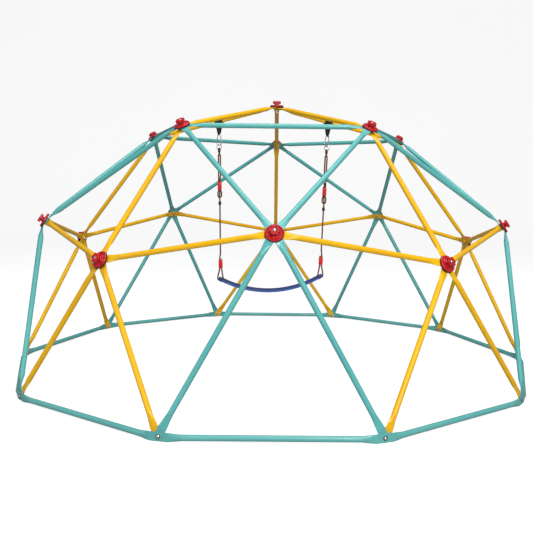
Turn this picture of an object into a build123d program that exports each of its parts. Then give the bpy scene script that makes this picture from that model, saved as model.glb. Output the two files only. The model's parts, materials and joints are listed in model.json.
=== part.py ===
from build123d import *
import math
import os
from dataclasses import dataclass

# A children's climbing dome, 3 m across and 1.5 m high, with a belt swing hung inside it.
# The origin is on the ground at the dome's centre, +Z up, and the swing faces -Y.

# Dome: tubes are measured from joint to joint.
base_radius = 1500
short_tube = 828
long_tube = 951
tube_diameter = 25.4
tube_wall = 1.2
sides = 5

# Tube ends are pressed flat, drilled, and bent where they leave the joint.
flat_width = 38
flat_thickness = 2 * tube_wall
flat_reach = 42
swage_length = 62
layer_pitch = 2.5
hollow_width = flat_width - 4
hollow_height = 0.6

# Joint hardware.
bolt_diameter = 8
hole_diameter = 8.6
head_diameter = 16
head_height = 4.5
head_rim = 1
bolt_chamfer = 0.8
hub_bolt_length = 66
ground_bolt_length = 26
nut_across_flats = 13
nut_height = 7
nut_chamfer = 0.7
washer_diameter = 20
washer_thickness = 1.6
thread_clearance = 0.05
contact_gap = 0.1

# Star cap: a round flange, a neck and a knob with rounded lobes.
cap_diameter = 80
flange_height = 9
neck_diameter = 27
knob_diameter = 48
knob_bottom = 20
knob_height = 14
knob_lobes = 6
lobe_radius = 8.2
valley_depth = 4.5
knob_round = 2.5
cap_edge = 2
rim_width = 4
groove_width = 6
groove_depth = 2.5
neck_root = 4
counterbore_depth = 3
counterbore_gap = 1
gasket_diameter = 84
gasket_thickness = 2.5
gasket_round = 0.8

# Swing: heights are drops below the strap eyes, measured along each rope.
swing_depth = 113
eye_height = 1359
strap_width = 50
strap_shoulder_width = 18
strap_shoulder_rise = 9
strap_neck_width = 7
strap_neck_rise = 4.2
strap_thickness = 3
strap_slack = 1.3
strap_eye_radius = 6.8
hook_wire = 6
hook_length = 74
hook_top_radius = 9
hook_bottom_radius = 14.5
hook_yaw = 15
gate_start = 0.16
gate_end = 0.8
tongue_thickness = 2.4
tongue_width = 5
tongue_reach = 8.4
wire_end_reach = 4.8
fork_radius = 4.3
pin_diameter = 2.4
ring_wire = 4.5
ring_radius = 16.5
ring_yaw = 35
rope_diameter = 10
rope_spacing = 10.6
link_gap = 0.4
sleeve_length = 49
sleeve_wall = 2.1
eye_splice_length = 52
eye_shoulder = 15
eye_half_width = 10.6
rope_set_back = 12.8
leg_spread = 7.5
leg_cross = 25
weave_start = 8
weave_end = 4
weave_stay = 12
knot_drop = 108
knot_length = 34
knot_diameter = 17
lower_sleeve_rise = 87
rope_inset = 11
rope_bend = 6.5
rope_lead = 3
loop_reach = 9.1
loop_depth = 11.6
loop_rise = 1.8

# Belt seat: a thin web between thick edges and thick ends.
seat_width = 120
web_thickness = 5
seat_thickness = 10
seat_sag = 86
seat_corner = 42
edge_width = 7
end_length = 64
seat_hole_radius = 11
seat_hole_inset = 30
cut_margin = 1


@dataclass
class Joint:
    """A place where tube axes meet, with the direction of its bolt and its stack of tube ends."""

    place: Vector
    outward: Vector
    layers: int
    used: int = 0

    def take_level(self):
        """Height of the next free layer of the stack along the bolt, the outermost first."""
        level = stack_middle + (self.layers - 1) / 2 * layer_pitch - self.used * layer_pitch
        self.used += 1
        return level

    def seat(self, inner=False, offset=0.0):
        """Plane on the outer or inner face of the stack, its x axis level with the ground."""
        half = self.layers * layer_pitch / 2 + offset
        facing = self.outward * (-1 if inner else 1)
        level = Vector(0, 0, 1).cross(self.outward)
        if level.length < 0.01:
            level = Vector(1, 0, 0)
        return Plane(
            origin=self.place + self.outward * stack_middle + facing * half,
            x_dir=level,
            z_dir=facing,
        )


@dataclass(frozen=True)
class Side:
    """One side of the swing. Inward is +1 when the seat lies towards +X."""

    name: str
    inward: int
    eye_x: float
    end_x: float
    end_height: float
    sleeve_drop: float


left = Side("left", 1, -352, -344, 474, 316)
right = Side("right", -1, 312, 291, 500, 345)


def polar(radius, azimuth, height):
    """Point on a circle about the dome's axis."""
    angle = math.radians(azimuth)
    return Vector(radius * math.cos(angle), radius * math.sin(angle), height)


def outer_meeting(low, low_reach, high, high_reach):
    """Point at the given distances from two points of a vertical plane, on the outer side."""
    line = high - low
    along = (low_reach**2 - high_reach**2 + line.length**2) / (2 * line.length)
    off = math.sqrt(low_reach**2 - along**2)
    unit = line.normalized()
    return low + unit * along + Vector(unit.Y, -unit.X) * off


# The dome is a two-frequency icosahedral dome: five-tube stars in short tubes, between rings
# of six-tube joints. The height of the top ring is the one that lets every tube fit.
half_step = math.radians(180 / sides)
ground_tube = 2 * base_radius * math.sin(half_step / 2)
ground_middle = Vector(base_radius * math.cos(half_step / 2), 0)
top_radius = long_tube / (2 * math.sin(half_step))


def ring_points(top_height):
    """Star and middle joints, as radius and height, for a given height of the top ring."""
    short_rise = math.sqrt(short_tube**2 - (ground_tube / 2) ** 2)
    long_rise = math.sqrt(long_tube**2 - (ground_tube / 2) ** 2)
    star = outer_meeting(ground_middle, short_rise, Vector(top_radius, top_height), short_tube)
    middle = outer_meeting(
        ground_middle,
        long_rise,
        Vector(top_radius * math.cos(half_step), top_height),
        long_tube * math.sqrt(3) / 2,
    )
    return star, middle


def star_gap(top_height):
    """How far the tube between a star and a middle joint is from its proper length."""
    star, middle = ring_points(top_height)
    across = star.X**2 + middle.X**2 - 2 * star.X * middle.X * math.cos(half_step)
    return math.sqrt(across + (star.Y - middle.Y) ** 2) - short_tube


def solve_top_height():
    """Halves the bracket round the top ring's height until the star tubes fit."""
    low = 0.8 * base_radius
    high = 0.95 * base_radius
    low_sign = star_gap(low) > 0
    for _ in range(60):
        height = (low + high) / 2
        if (star_gap(height) > 0) == low_sign:
            low = height
        else:
            high = height
    return height


top_height = solve_top_height()
star_point, middle_point = ring_points(top_height)
apex_height = top_height + math.sqrt(short_tube**2 - top_radius**2)
bend_angle = math.asin(short_tube / 2 / base_radius)
stack_middle = -flat_reach * math.tan(bend_angle)
ground_height = flat_width / 2
dome_centre = Vector(0, 0, ground_height)


def joint(radius, azimuth, height, layers):
    """Joint at a ring position, its bolt pointing away from the dome's centre."""
    place = polar(radius, azimuth, height + ground_height)
    return Joint(place, (place - dome_centre).normalized(), layers)


step = 360 / sides
first_azimuth = 90
apex = joint(0, 0, apex_height, 5)
top_joints = [joint(top_radius, first_azimuth + step * i, top_height, 6) for i in range(sides)]
star_joints = [
    joint(star_point.X, first_azimuth + step * i, star_point.Y, 5) for i in range(sides)
]
middle_joints = [
    joint(middle_point.X, first_azimuth + step * (i + 0.5), middle_point.Y, 6)
    for i in range(sides)
]
ground_joints = [
    joint(base_radius, first_azimuth + step * (i / 2 - 0.25), 0, 4) for i in range(2 * sides)
]
capped_joints = [apex] + top_joints + star_joints + middle_joints


def around(joints, index):
    """Joint of a closed ring, counted past its end."""
    return joints[index % len(joints)]


def end_plane(start, finish):
    """Plane of a tube's flattened end: origin on the bolt, x along the tube, z outward."""
    line = finish.place - start.place
    along = (line - start.outward * line.dot(start.outward)).normalized()
    origin = start.place + start.outward * start.take_level()
    return Plane(origin=origin, x_dir=along, z_dir=start.outward)


def tube(start, finish):
    """Round tube with flat, drilled, bent ends, and the axis of its round part."""
    ends = [end_plane(start, finish), end_plane(finish, start)]
    bends = [end.from_local_coords(Vector(flat_reach, 0, 0)) for end in ends]
    axis = (bends[1] - bends[0]).normalized()
    rounds = [bends[0] + axis * swage_length, bends[1] - axis * swage_length]
    inside = tube_diameter / 2 - tube_wall
    with BuildPart() as body:
        for end in ends:
            with BuildSketch(end):
                Circle(flat_width / 2)
                with Locations((flat_reach / 2, 0)):
                    Rectangle(flat_reach, flat_width)
                Circle(hole_diameter / 2, mode=Mode.SUBTRACT)
            extrude(amount=flat_thickness / 2, both=True)
        for end, bend, round_start in zip(ends, bends, rounds):
            with BuildSketch(Plane(origin=bend, x_dir=end.y_dir, z_dir=end.x_dir)):
                Rectangle(flat_width, flat_thickness)
            with BuildSketch(Plane(origin=round_start, x_dir=end.y_dir, z_dir=round_start - bend)):
                Circle(tube_diameter / 2)
            loft()
        with BuildSketch(Plane(origin=rounds[0], x_dir=ends[0].y_dir, z_dir=axis)):
            Circle(tube_diameter / 2)
        extrude(amount=(rounds[1] - rounds[0]).length)
        for end, bend, round_start in zip(ends, bends, rounds):
            with BuildSketch(Plane(origin=bend, x_dir=end.y_dir, z_dir=end.x_dir)):
                Rectangle(hollow_width, hollow_height)
            with BuildSketch(Plane(origin=round_start, x_dir=end.y_dir, z_dir=round_start - bend)):
                Circle(inside)
            loft(mode=Mode.SUBTRACT)
        with BuildSketch(Plane(origin=rounds[0], x_dir=ends[0].y_dir, z_dir=axis)):
            Circle(inside)
        extrude(amount=(rounds[1] - rounds[0]).length, mode=Mode.SUBTRACT)
    return body.part, Axis(bends[0], axis)


def save(part, label):
    """Labels a finished piece and writes its STEP file."""
    part.label = label
    export_step(part, f"parts/{label}.step")


def save_tubes(label, pairs):
    """Writes a group of tubes, each between a pair of joints, and returns their axes."""
    tubes = [tube(start, finish) for start, finish in pairs]
    with BuildPart() as group:
        add([part for part, _ in tubes])
    save(group.part, label)
    return [axis for _, axis in tubes]


def save_copies(label, piece, planes):
    """Writes a group of identical pieces, one on each plane."""
    with BuildPart() as group:
        with Locations(*planes):
            add(piece)
    save(group.part, label)


def star_cap():
    """Red joint cap: flange with a raised rim, neck, and lobed knob with a sunk bolt seat."""
    flange = cap_diameter / 2
    neck = neck_diameter / 2
    groove_edge = flange - 2 * cap_edge - rim_width
    groove_floor = flange_height - groove_depth
    root_height = flange_height + groove_depth / 2
    with BuildPart() as cap:
        with BuildSketch(Plane.XZ):
            with BuildLine():
                Polyline(
                    (0, 0),
                    (flange - cap_edge, 0),
                    (flange, cap_edge),
                    (flange, flange_height - cap_edge),
                    (flange - cap_edge, flange_height),
                    (groove_edge + cap_edge, flange_height),
                    (groove_edge, groove_floor),
                    (groove_edge - groove_width, groove_floor),
                    (groove_edge - groove_width - cap_edge, flange_height),
                    (neck + neck_root, root_height),
                    (neck, root_height + neck_root),
                    (neck, knob_bottom - cap_edge),
                    (neck + cap_edge, knob_bottom + cap_edge / 2),
                    (0, knob_bottom + cap_edge / 2),
                    close=True,
                )
            make_face()
        revolve(axis=Axis.Z)
        with BuildSketch(Plane.XY.offset(knob_bottom)):
            Circle(knob_diameter / 2 - valley_depth)
            with PolarLocations(knob_diameter / 2 - lobe_radius, knob_lobes):
                Circle(lobe_radius)
        extrude(amount=knob_height)
        level_faces = cap.faces().filter_by(Axis.Z).sort_by(Axis.Z)
        fillet(level_faces[-1].edges(), radius=knob_round)
        with Locations((0, 0, knob_bottom + knob_height)):
            CounterBoreHole(
                radius=hole_diameter / 2,
                counter_bore_radius=head_diameter / 2 + counterbore_gap,
                counter_bore_depth=counterbore_depth,
            )
    return cap.part


def gasket():
    """Rubber ring between a star cap and the tube ends under it."""
    with BuildPart() as ring:
        with BuildSketch():
            Circle(gasket_diameter / 2)
            Circle(hole_diameter / 2, mode=Mode.SUBTRACT)
        extrude(amount=gasket_thickness)
        fillet(ring.edges().group_by(SortBy.LENGTH)[-1], radius=gasket_round)
    return ring.part


def dome_bolt(length):
    """Bolt with a low domed head, standing on z = 0 with its shank downwards."""
    rise = head_height - head_rim
    crown = (head_diameter**2 / 4 + rise**2) / (2 * rise)
    with BuildPart() as bolt:
        with BuildSketch():
            Circle(head_diameter / 2)
        extrude(amount=head_height)
        with Locations((0, 0, head_height - crown)):
            Sphere(crown, mode=Mode.INTERSECT)
        with BuildSketch():
            Circle(bolt_diameter / 2)
        extrude(amount=-length)
        chamfer(bolt.faces().sort_by(Axis.Z)[0].edges(), length=bolt_chamfer)
    return bolt.part


def washer():
    """Flat steel washer, its lower face on z = 0."""
    with BuildPart() as ring:
        with BuildSketch():
            Circle(washer_diameter / 2)
            Circle(hole_diameter / 2, mode=Mode.SUBTRACT)
        extrude(amount=washer_thickness)
    return ring.part


def nut():
    """Hexagon nut with chamfered corners, its lower face on z = 0."""
    corner = nut_across_flats / math.sqrt(3)
    with BuildPart() as hexagon:
        with BuildSketch():
            RegularPolygon(corner, 6)
            Circle(bolt_diameter / 2 + thread_clearance, mode=Mode.SUBTRACT)
        extrude(amount=nut_height)
        with BuildSketch(Plane.XZ):
            with BuildLine():
                Polyline(
                    (0, 0),
                    (nut_across_flats / 2, 0),
                    (corner, nut_chamfer),
                    (corner, nut_height - nut_chamfer),
                    (nut_across_flats / 2, nut_height),
                    (0, nut_height),
                    close=True,
                )
            make_face()
        revolve(axis=Axis.Z, mode=Mode.INTERSECT)
    return hexagon.part


def seat_hang(side):
    """Point of the rope's line beside the seat's end."""
    return Vector(side.end_x + side.inward * rope_inset, swing_depth, side.end_height)


def seat_drop(side):
    """Length of the hanging line, from the strap's eye to the seat."""
    return (seat_hang(side) - hang_point(side, 0)).length


def hang_point(side, drop, across=0.0, forward=0.0):
    """Point of a hanging side: drop along the rope, across towards +X, forward towards -Y."""
    eye = Vector(side.eye_x, swing_depth, eye_height)
    down = (seat_hang(side) - eye).normalized()
    level = Vector(-down.Z, 0, down.X)
    return eye + down * drop + level * across + Vector(0, -1, 0) * forward


def hang_plane(side, drop, yaw=0.0):
    """Upright plane on a hanging side: x across, y up the rope, turned by yaw about the rope."""
    origin = hang_point(side, drop)
    up = (origin - hang_point(side, drop + 1)).normalized()
    level = hang_point(side, drop, across=1) - origin
    turn = math.radians(yaw)
    across = level * math.cos(turn) + Vector(0, 1, 0) * math.sin(turn)
    return Plane(origin=origin, x_dir=across, z_dir=across.cross(up))


def strap(side, tube_axis):
    """Webbing loop round an apex tube, both legs meeting in a narrow eye below it."""
    eye = hang_point(side, 0)
    direction = tube_axis.direction
    along = Vector(direction.X, direction.Y, 0).normalized()
    across = Vector(0, 0, 1).cross(along)
    hang_share = along.dot(eye - tube_axis.position) / along.dot(direction)
    on_tube = tube_axis.position + direction * hang_share
    middle = Plane(origin=eye, x_dir=along, z_dir=along.cross(Vector(0, 0, 1)))
    top_spot = middle.to_local_coords(on_tube)
    above = top_spot.Y + strap_width
    tube_foot = top_spot.Y - tube_diameter / 2
    neck = strap_neck_width / 2
    shoulder = strap_shoulder_width / 2
    outline = [
        (top_spot.X + strap_width / 2, above),
        (top_spot.X + strap_width / 2, tube_foot),
        (shoulder, strap_shoulder_rise),
        (neck, strap_neck_rise),
        (neck, -2 * strap_eye_radius),
        (-neck, -2 * strap_eye_radius),
        (-neck, strap_neck_rise),
        (-shoulder, strap_shoulder_rise),
        (top_spot.X - strap_width / 2, tube_foot),
        (top_spot.X - strap_width / 2, above),
    ]
    with BuildPart() as loop:
        for extra, mode in ((strap_thickness, Mode.ADD), (0, Mode.SUBTRACT)):
            for reach in (-strap_width, strap_width):
                origin = on_tube + direction * reach
                section = Plane(origin=origin, x_dir=across, z_dir=along)
                eye_spot = section.to_local_coords(eye)
                with BuildSketch(section):
                    Circle(tube_diameter / 2 + strap_slack + extra)
                    with Locations((eye_spot.X, eye_spot.Y)):
                        Circle(strap_eye_radius + extra)
                    make_hull()
            loft(mode=mode)
        with BuildSketch(middle):
            with BuildLine():
                Polyline(*outline, close=True)
            make_face()
        extrude(amount=strap_width, both=True, mode=Mode.INTERSECT)
    return loop.part


def hook_outline():
    """Key points of the hook's wire, x across and y up from its top: the gate is at +x."""
    top = Vector(0, -hook_top_radius)
    bottom = Vector(0, hook_wire - hook_length + hook_bottom_radius)
    lean = math.asin((hook_bottom_radius - hook_top_radius) / (top - bottom).length)
    normal = Vector(math.cos(lean), math.sin(lean))
    upper = top + normal * hook_top_radius
    lower = bottom + normal * hook_bottom_radius
    pivot = upper + (lower - upper) * gate_start
    nose = upper + (lower - upper) * gate_end
    return upper, lower, pivot, nose


def hook_plane(side):
    """Plane of one hook: origin on its swing axis, x across, y up."""
    return hang_plane(side, 0, -side.inward * hook_yaw)


def hook_frame(side):
    """Bent wire hook, open at the gate, with a drilled tongue for the gate's pin."""
    upper, lower, pivot, nose = hook_outline()
    down = (lower - upper).normalized()
    wire_end = pivot - down * wire_end_reach
    tongue_root = pivot - down * tongue_reach
    plane = hook_plane(side)
    with BuildPart() as frame:
        with BuildLine(plane) as wire:
            Line((wire_end.X, wire_end.Y), (upper.X, upper.Y))
            ThreePointArc((upper.X, upper.Y), (0, 0), (-upper.X, upper.Y))
            Line((-upper.X, upper.Y), (-lower.X, lower.Y))
            ThreePointArc(
                (-lower.X, lower.Y), (0, hook_wire - hook_length), (lower.X, lower.Y)
            )
            Line((lower.X, lower.Y), (nose.X, nose.Y))
        with BuildSketch(Plane(origin=wire.line @ 0, z_dir=wire.line % 0)):
            Circle(hook_wire / 2)
        sweep(path=wire.line)
        with BuildSketch(plane):
            with Locations((pivot.X, pivot.Y), (tongue_root.X, tongue_root.Y)):
                Circle(tongue_width / 2)
            make_hull()
            with Locations((pivot.X, pivot.Y)):
                Circle(pin_diameter / 2 + thread_clearance, mode=Mode.SUBTRACT)
        extrude(amount=tongue_thickness / 2, both=True)
    return frame.part


def hook_gate(side):
    """Straight gate of a hook, forked over the tongue at its upper end."""
    upper, lower, pivot, nose = hook_outline()
    down = (lower - upper).normalized()
    plane = hook_plane(side)
    top = plane.from_local_coords(pivot - down * (hook_wire / 2))
    end = plane.from_local_coords(nose - down * link_gap)
    with BuildPart() as gate:
        with BuildSketch(Plane(origin=top, z_dir=end - top)):
            Circle(hook_wire / 2)
        extrude(amount=(end - top).length)
        with BuildSketch(plane):
            with Locations((pivot.X, pivot.Y)):
                Circle(fork_radius)
        extrude(amount=tongue_thickness / 2 + contact_gap, both=True, mode=Mode.SUBTRACT)
        with BuildSketch(plane):
            with Locations((pivot.X, pivot.Y)):
                Circle(pin_diameter / 2 + thread_clearance)
        extrude(amount=hook_wire, both=True, mode=Mode.SUBTRACT)
    return gate.part


def gate_pin(side):
    """Rivet through the tongue and the gate's fork."""
    pivot = hook_outline()[2]
    with BuildPart() as pin:
        with BuildSketch(hook_plane(side)):
            with Locations((pivot.X, pivot.Y)):
                Circle(pin_diameter / 2)
        extrude(amount=hook_wire / 2 + contact_gap, both=True)
    return pin.part


def ring_top_drop():
    """Drop of the centre of a ring's wire where it rests in its hook."""
    return hook_length - hook_wire - (hook_wire + ring_wire) / 2 - link_gap


def ring(side):
    """Welded steel ring between the hook and the rope."""
    drop = ring_top_drop() + ring_radius
    with BuildPart(hang_plane(side, drop, side.inward * ring_yaw)) as loop:
        Torus(ring_radius, ring_wire / 2)
    return loop.part


def seat_arc():
    """Middle of the seat's chord, its unit direction, and the radius of the hanging curve."""
    left_end = Vector(left.end_x, swing_depth, left.end_height)
    right_end = Vector(right.end_x, swing_depth, right.end_height)
    chord = right_end - left_end
    radius = (chord.length**2 / 4 + seat_sag**2) / (2 * seat_sag)
    return (left_end + right_end) / 2, chord.normalized(), radius


def seat_plane(side, inset):
    """Plane tangent to the seat: inset from its end along the curve, x inward, z upward."""
    middle, chord, radius = seat_arc()
    up = chord.cross(Vector(0, 1, 0))
    outward = chord * -side.inward
    end = Vector(side.end_x, swing_depth, side.end_height)
    angle = math.asin((end - middle).length / radius) - inset / radius
    lean = outward * math.sin(angle) - up * math.cos(angle)
    inward = outward * -math.cos(angle) - up * math.sin(angle)
    centre = middle + up * (radius - seat_sag)
    return Plane(origin=centre + lean * radius, x_dir=inward, z_dir=lean * -1)


def ring_bend(side, turn, drop):
    """Point of the rope's bend round the ring, on its front (+1) or back (-1) strand."""
    yaw = math.radians(side.inward * ring_yaw)
    reach = turn * (ring_wire + rope_diameter) / 2 + turn * link_gap
    return hang_point(side, drop, across=math.sin(yaw) * reach, forward=math.cos(yaw) * reach)


def rope(side):
    """Doubled rope from the ring, through the upper sleeve to an eye, a knot and a seat loop."""
    outer = -side.inward * rope_spacing / 2
    inner = -outer
    wide = side.inward * eye_half_width
    spread = side.inward * leg_spread
    easy = 2 * rope_bend
    front = rope_diameter + 1
    sleeve_top = side.sleeve_drop - sleeve_length / 2
    sleeve_foot = side.sleeve_drop + sleeve_length / 2
    shoulder = sleeve_foot + eye_shoulder
    eye_foot = sleeve_foot + eye_splice_length - rope_diameter / 2
    weave = eye_foot - weave_end
    bend_top = ring_top_drop() + 2 * ring_radius - (ring_wire + rope_diameter) / 2 - link_gap
    leg_foot = bend_top + 2 * rope_diameter
    spread_top = leg_foot + leg_cross
    spread_foot = sleeve_top - rope_diameter - leg_cross
    knot_top = side.sleeve_drop + knot_drop - knot_length / 2
    low_sleeve_top = seat_drop(side) - lower_sleeve_rise - sleeve_length / 2
    low_sleeve_foot = low_sleeve_top + sleeve_length
    tight = (ring_wire + rope_diameter) / 2
    round_eye = eye_half_width - contact_gap
    seat_end = seat_plane(side, 0)
    stops = [
        (hang_point(side, sleeve_top - rope_bend, inner), 0),
        (hang_point(side, sleeve_foot + rope_lead, inner), easy),
        (hang_point(side, shoulder, wide), easy),
        (hang_point(side, eye_foot, wide), round_eye),
        (hang_point(side, eye_foot, -wide), round_eye),
        (hang_point(side, shoulder, -wide), easy),
        (hang_point(side, sleeve_foot + rope_lead, outer), easy),
        (hang_point(side, sleeve_top - rope_diameter, outer), easy),
        (hang_point(side, spread_foot, -spread), easy),
        (hang_point(side, spread_top, -spread), easy),
        (ring_bend(side, 1, leg_foot), easy),
        (ring_bend(side, 1, bend_top), tight),
        (ring_bend(side, -1, bend_top), tight),
        (ring_bend(side, -1, leg_foot), easy),
        (hang_point(side, spread_top, spread, -rope_set_back), easy),
        (hang_point(side, spread_foot, spread, -rope_set_back), easy),
        (hang_point(side, sleeve_top - rope_diameter, 0, -rope_set_back), easy),
        (hang_point(side, sleeve_foot + weave_start, 0, -rope_set_back), easy),
        (hang_point(side, weave, 0, front), easy),
        (hang_point(side, weave + weave_stay, 0, front), easy),
        (hang_point(side, knot_top, 0), easy),
        (hang_point(side, low_sleeve_top - 4 * rope_diameter, 0), easy),
        (hang_point(side, low_sleeve_top - rope_bend, outer), easy),
        (hang_point(side, low_sleeve_foot + rope_lead, outer), easy),
        (seat_end.from_local_coords(Vector(-loop_reach, 0, 0)), rope_bend),
        (seat_end.from_local_coords(Vector(0, 0, -loop_depth)), rope_bend),
        (seat_end.from_local_coords(Vector(seat_hole_inset, 0, -loop_depth)), rope_bend),
        (seat_end.from_local_coords(Vector(seat_hole_inset, 0, loop_rise)), rope_bend),
        (hang_point(side, low_sleeve_foot + rope_lead, inner), easy),
        (hang_point(side, low_sleeve_top - rope_bend, inner), 0),
    ]
    points = [point for point, _ in stops]
    bends = [bend for _, bend in stops[1:-1]]
    knot_plane = hang_plane(side, knot_top + knot_length / 2)
    with BuildPart() as whole:
        with BuildLine() as path:
            FilletPolyline(*points, radius=bends)
        with BuildSketch(Plane(origin=path.line @ 0, z_dir=path.line % 0)):
            Circle(rope_diameter / 2)
        sweep(path=path.line)
        with BuildSketch(knot_plane):
            Ellipse(knot_diameter / 2, knot_length / 2)
            Rectangle(
                knot_diameter, knot_length, align=(Align.MAX, Align.CENTER), mode=Mode.SUBTRACT
            )
        revolve(axis=Axis(knot_plane.origin, knot_plane.y_dir))
    return whole.part


def sleeve(side, drop):
    """Plastic sleeve clamped round two strands of rope."""
    level = hang_plane(side, drop)
    bore = rope_diameter + 2 * contact_gap
    with BuildPart() as tube_pair:
        with BuildSketch(Plane(origin=level.origin, x_dir=level.x_dir, z_dir=level.y_dir)):
            SlotCenterToCenter(rope_spacing, bore + 2 * sleeve_wall)
            SlotCenterToCenter(rope_spacing, bore, mode=Mode.SUBTRACT)
        extrude(amount=sleeve_length / 2, both=True)
    return tube_pair.part


def belt_seat():
    """Curved belt: thin web, thick edges and ends, rounded corners and a rope hole each end."""
    middle, chord, radius = seat_arc()
    chord_length = (Vector(left.end_x, swing_depth, left.end_height) - middle).length * 2
    end_angle = math.degrees(math.asin(chord_length / 2 / radius))
    web_angle = end_angle - math.degrees(end_length / radius)
    side_view = Plane(origin=middle, x_dir=chord, z_dir=(0, -1, 0))
    plan = Plane(origin=middle, x_dir=chord, z_dir=side_view.y_dir)
    curve_centre = (0, radius - seat_sag)
    shallow = radius - seat_thickness / 2
    deep = radius + seat_thickness / 2
    web_top = radius - web_thickness / 2
    web_bottom = radius + web_thickness / 2
    web_width = seat_width - 2 * edge_width
    bands = (
        (shallow, deep, end_angle + cut_margin, seat_width, Mode.ADD),
        (shallow - cut_margin, web_top, web_angle, web_width, Mode.SUBTRACT),
        (web_bottom, deep + cut_margin, web_angle, web_width, Mode.SUBTRACT),
    )
    with BuildPart() as seat:
        for inside, outside, half_angle, width, mode in bands:
            with BuildSketch(side_view):
                with BuildLine():
                    near = CenterArc(curve_centre, inside, 270 - half_angle, 2 * half_angle)
                    far = CenterArc(curve_centre, outside, 270 - half_angle, 2 * half_angle)
                    Line(near @ 0, far @ 0)
                    Line(near @ 1, far @ 1)
                make_face()
            extrude(amount=width / 2, both=True, mode=mode)
        with BuildSketch(plan):
            RectangleRounded(chord_length, seat_width, seat_corner)
        extrude(amount=2 * seat_sag, both=True, mode=Mode.INTERSECT)
        for side in (left, right):
            with BuildSketch(seat_plane(side, seat_hole_inset)):
                Circle(seat_hole_radius)
            extrude(amount=seat_thickness, both=True, mode=Mode.SUBTRACT)
    return seat.part


os.makedirs("parts", exist_ok=True)

# Tubes, in the order in which their ends are stacked on the joints, the outermost first.
count = 2 * sides
save_tubes(
    "ground_ring_tubes",
    [(ground_joints[i], around(ground_joints, i + 1)) for i in range(count)],
)
save_tubes(
    "lower_brace_tubes",
    [(middle_joints[i // 2], around(ground_joints, i + 1)) for i in range(count)],
)
save_tubes(
    "upper_brace_tubes",
    [(around(top_joints, (i + 1) // 2), middle_joints[i // 2]) for i in range(count)],
)
save_tubes(
    "top_ring_tubes",
    [(top_joints[i], around(top_joints, i + 1)) for i in range(sides)],
)
apex_axes = save_tubes("apex_tubes", [(apex, top_joint) for top_joint in top_joints])
save_tubes("upper_tubes", list(zip(top_joints, star_joints)))
save_tubes(
    "star_tubes",
    [(around(star_joints, (i + 1) // 2), middle_joints[i // 2]) for i in range(count)],
)
save_tubes(
    "leg_tubes",
    [(star_joints[i // 2], ground_joints[i]) for i in range(count)],
)

# Hub hardware: a cap on a gasket outside, a washer and nut inside, one long bolt through all.
cap_lift = gasket_thickness + contact_gap
head_lift = cap_lift + knob_bottom + knob_height - counterbore_depth + contact_gap / 2
nut_lift = washer_thickness + contact_gap
save_copies("star_caps", star_cap(), [hub.seat(offset=cap_lift) for hub in capped_joints])
save_copies("cap_gaskets", gasket(), [hub.seat(offset=contact_gap / 2) for hub in capped_joints])
save_copies(
    "hub_bolts", dome_bolt(hub_bolt_length), [hub.seat(offset=head_lift) for hub in capped_joints]
)
inner_seats = [hub.seat(inner=True, offset=contact_gap / 2) for hub in capped_joints]
save_copies("hub_washers", washer(), inner_seats)
save_copies("hub_nuts", nut(), [hub.seat(inner=True, offset=nut_lift) for hub in capped_joints])

# Ground hardware: a bolt on a washer outside, a washer and nut inside.
outer_seats = [hub.seat(offset=contact_gap / 2) for hub in ground_joints]
inner_seats = [hub.seat(inner=True, offset=contact_gap / 2) for hub in ground_joints]
save_copies("ground_bolt_washers", washer(), outer_seats)
save_copies(
    "ground_bolts", dome_bolt(ground_bolt_length), [hub.seat(offset=nut_lift) for hub in ground_joints]
)
save_copies("ground_inner_washers", washer(), inner_seats)
save_copies("ground_nuts", nut(), [hub.seat(inner=True, offset=nut_lift) for hub in ground_joints])

# The swing hangs from the two rear apex tubes.
for side, tube_axis in ((left, apex_axes[1]), (right, apex_axes[-1])):
    save(strap(side, tube_axis), f"{side.name}_strap")
    save(hook_frame(side), f"{side.name}_hook_frame")
    save(hook_gate(side), f"{side.name}_gate")
    save(gate_pin(side), f"{side.name}_gate_pin")
    save(ring(side), f"{side.name}_ring")
    save(rope(side), f"{side.name}_rope")
    save(sleeve(side, side.sleeve_drop), f"{side.name}_upper_sleeve")
    save(sleeve(side, seat_drop(side) - lower_sleeve_rise), f"{side.name}_lower_sleeve")
save(belt_seat(), "belt_seat")
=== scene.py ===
import json
import math
import random

import bpy
from mathutils import Matrix, Vector


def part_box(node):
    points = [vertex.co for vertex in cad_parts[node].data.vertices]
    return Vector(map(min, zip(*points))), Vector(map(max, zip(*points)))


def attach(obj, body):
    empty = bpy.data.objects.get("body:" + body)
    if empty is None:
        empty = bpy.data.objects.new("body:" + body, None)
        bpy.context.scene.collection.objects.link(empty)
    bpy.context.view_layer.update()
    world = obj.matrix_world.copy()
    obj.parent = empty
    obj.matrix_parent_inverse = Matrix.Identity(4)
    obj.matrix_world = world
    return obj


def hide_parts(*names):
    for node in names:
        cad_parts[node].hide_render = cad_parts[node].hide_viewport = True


# The looks of a children's climbing dome with a belt swing inside it.
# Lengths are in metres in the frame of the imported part: +Z up, the swing facing -Y.

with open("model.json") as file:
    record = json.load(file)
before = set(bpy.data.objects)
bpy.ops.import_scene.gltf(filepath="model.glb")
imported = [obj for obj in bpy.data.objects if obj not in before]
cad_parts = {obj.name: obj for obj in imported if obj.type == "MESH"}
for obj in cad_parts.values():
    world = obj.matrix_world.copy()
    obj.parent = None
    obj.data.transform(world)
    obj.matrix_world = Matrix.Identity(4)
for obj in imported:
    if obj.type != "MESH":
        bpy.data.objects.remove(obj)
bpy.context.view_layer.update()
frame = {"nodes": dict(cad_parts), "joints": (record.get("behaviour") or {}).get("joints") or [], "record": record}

nodes = frame["nodes"]
joints = {joint["name"]: joint for joint in frame["joints"]}
dice = random.Random(5)

mm = 0.001

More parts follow.
